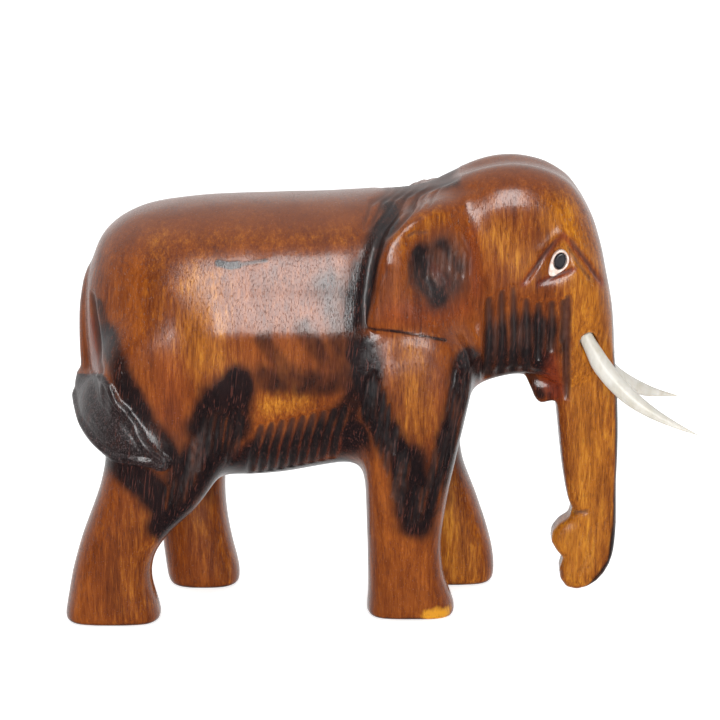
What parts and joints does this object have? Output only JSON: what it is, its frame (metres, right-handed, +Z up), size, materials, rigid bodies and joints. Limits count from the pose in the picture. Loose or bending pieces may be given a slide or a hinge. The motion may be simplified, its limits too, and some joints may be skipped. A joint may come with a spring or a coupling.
{
  "type": "carved wooden elephant figurine",
  "caption": "Walking elephant carved from one block of stained hardwood, with let-in white tusks and inlaid eyes; stands on four flat soles.",
  "frame": {"origin": "centre of the bounding box on the surface the soles stand on", "axes": "+X forwards along the body to the trunk and tusks, +Y to the elephant's left, +Z up"},
  "size_m": [0.188, 0.0598, 0.1365],
  "materials": {
    "wood": "hand-carved hardwood, red-brown stain with burnt shading in the hollows, clear gloss lacquer",
    "tusk": "polished off-white resin or bone",
    "eye_white": "off-white inlay under lacquer",
    "pupil": "glossy black"
  },
  "bodies": {
    "root": {"elephant_body": "wood", "tusk_right": "tusk", "tusk_left": "tusk", "eye_white_right": "eye_white", "eye_white_left": "eye_white", "pupil_right": "pupil", "pupil_left": "pupil"}
  },
  "joints": []
}
